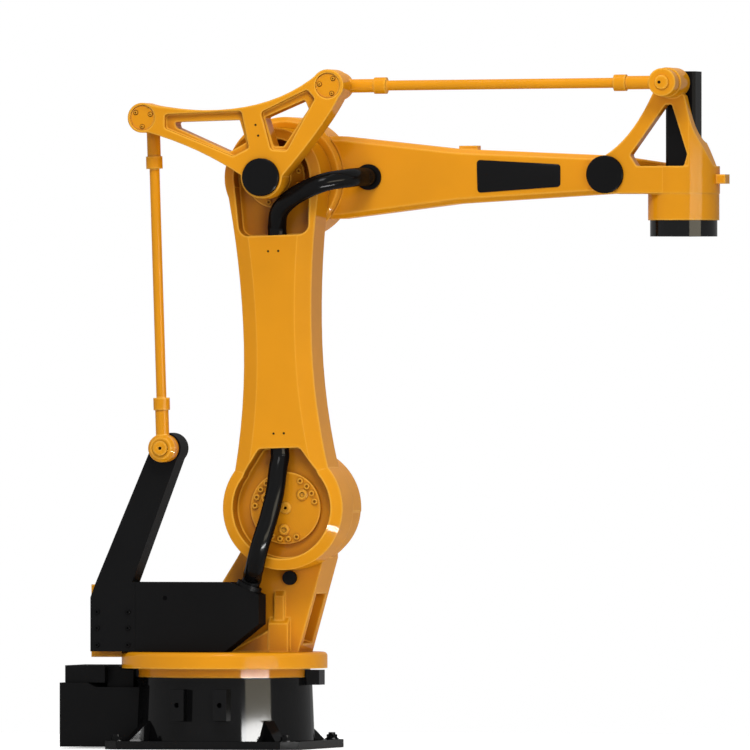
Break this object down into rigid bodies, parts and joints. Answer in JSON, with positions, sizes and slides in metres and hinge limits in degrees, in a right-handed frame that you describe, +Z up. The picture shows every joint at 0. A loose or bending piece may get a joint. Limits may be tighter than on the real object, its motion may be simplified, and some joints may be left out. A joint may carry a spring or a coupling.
{
  "type": "industrial robot arm",
  "caption": "Floor-standing palletising robot arm: slewing base, lower and upper arm, rocker and parallel rods that keep the tool flange level",
  "frame": {"origin": "on the slewing axis at the underside of the foot plate", "axes": "X forward to the tool, Y to the far side of the picture, Z up"},
  "size_m": [2.6318, 0.893, 2.6356],
  "materials": {
    "orange_paint": "satin yellow-orange paint over cast iron",
    "black_paint": "satin black paint",
    "hose_rubber": "smooth black rubber",
    "bare_steel": "ground steel"
  },
  "bodies": {
    "base": {"base_plate": "black_paint", "base_column": "black_paint", "travel_stop": "black_paint", "connector_box": "black_paint", "connector_hood": "black_paint"},
    "turntable": {"slew_ring": "orange_paint", "turntable_disc": "orange_paint", "rear_block": "orange_paint", "upright": "orange_paint", "cable_port": "hose_rubber", "side_cover": "black_paint", "link_post": "black_paint", "j1_motor": "black_paint", "j2_motor": "black_paint", "hose_clamp": "hose_rubber", "lower_hose": "hose_rubber"},
    "lower_link": {"lower_arm": "orange_paint", "j2_flange": "orange_paint", "elbow_shaft": "orange_paint", "upper_hose_a": "hose_rubber"},
    "rocker_link": {"rocker": "orange_paint", "rocker_cap": "black_paint", "ear_pin_rear": "orange_paint", "ear_pin_front": "orange_paint"},
    "rear_rod": {"link_rod": "orange_paint", "link_eye_low": "orange_paint", "link_eye_top": "orange_paint"},
    "upper_link": {"elbow_hub": "orange_paint", "upper_arm": "orange_paint", "j3_motor": "black_paint", "hose_socket": "hose_rubber", "upper_hose_b": "hose_rubber"},
    "front_rod": {"top_rod": "orange_paint", "top_eye_rear": "orange_paint", "top_eye_front": "orange_paint"},
    "wrist": {"wrist_frame": "orange_paint", "wrist_cap": "black_paint", "wrist_pin": "bare_steel", "wrist_bracket": "orange_paint", "j4_motor": "black_paint"},
    "tool": {"tool_flange": "black_paint"}
  },
  "joints": [
    {"name": "j1_slew", "type": "hinge", "parent": "base", "child": "turntable", "pos_m": [0, 0, 0.312], "axis": [0, 0, 1], "range_deg": [-180, 180]},
    {"name": "j2_lower_arm", "type": "hinge", "parent": "turntable", "child": "lower_link", "pos_m": [0.3, 0, 0.935], "axis": [0, 1, 0], "range_deg": [-25, 70], "deforming": ["lower_hose"]},
    {"name": "rocker_pivot", "type": "hinge", "parent": "lower_link", "child": "rocker_link", "pos_m": [0.25979, 0, 2.21437], "axis": [0, 1, 0], "range_deg": [-70, 25], "deforming": ["upper_hose_a"]},
    {"name": "rear_rod_pivot", "type": "hinge", "parent": "turntable", "child": "rear_rod", "pos_m": [-0.178, -0.253, 1.166], "axis": [0, 1, 0], "range_deg": [-25, 70]},
    {"name": "j3_upper_arm", "type": "hinge", "parent": "rocker_link", "child": "upper_link", "pos_m": [0.25979, 0, 2.21437], "axis": [0, -1, 0], "range_deg": [-40, 20], "deforming": ["upper_hose_b"]},
    {"name": "front_rod_pivot", "type": "hinge", "parent": "rocker_link", "child": "front_rod", "pos_m": [0.52479, -0.253, 2.56737], "axis": [0, -1, 0], "range_deg": [-40, 20]},
    {"name": "wrist_pivot", "type": "hinge", "parent": "upper_link", "child": "wrist", "pos_m": [1.55975, 0, 2.22458], "axis": [0, -1, 0], "range_deg": [-20, 40]},
    {"name": "j4_tool", "type": "hinge", "parent": "wrist", "child": "tool", "pos_m": [1.83975, 0, 1.98508], "axis": [0, 0, 1], "range_deg": [-360, 360]}
  ],
  "couplings": [
    {"joint": "rocker_pivot", "follows": "j2_lower_arm", "ratio": -1},
    {"joint": "rear_rod_pivot", "follows": "j2_lower_arm", "ratio": 1},
    {"joint": "front_rod_pivot", "follows": "j3_upper_arm", "ratio": 1},
    {"joint": "wrist_pivot", "follows": "j3_upper_arm", "ratio": -1}
  ]
}
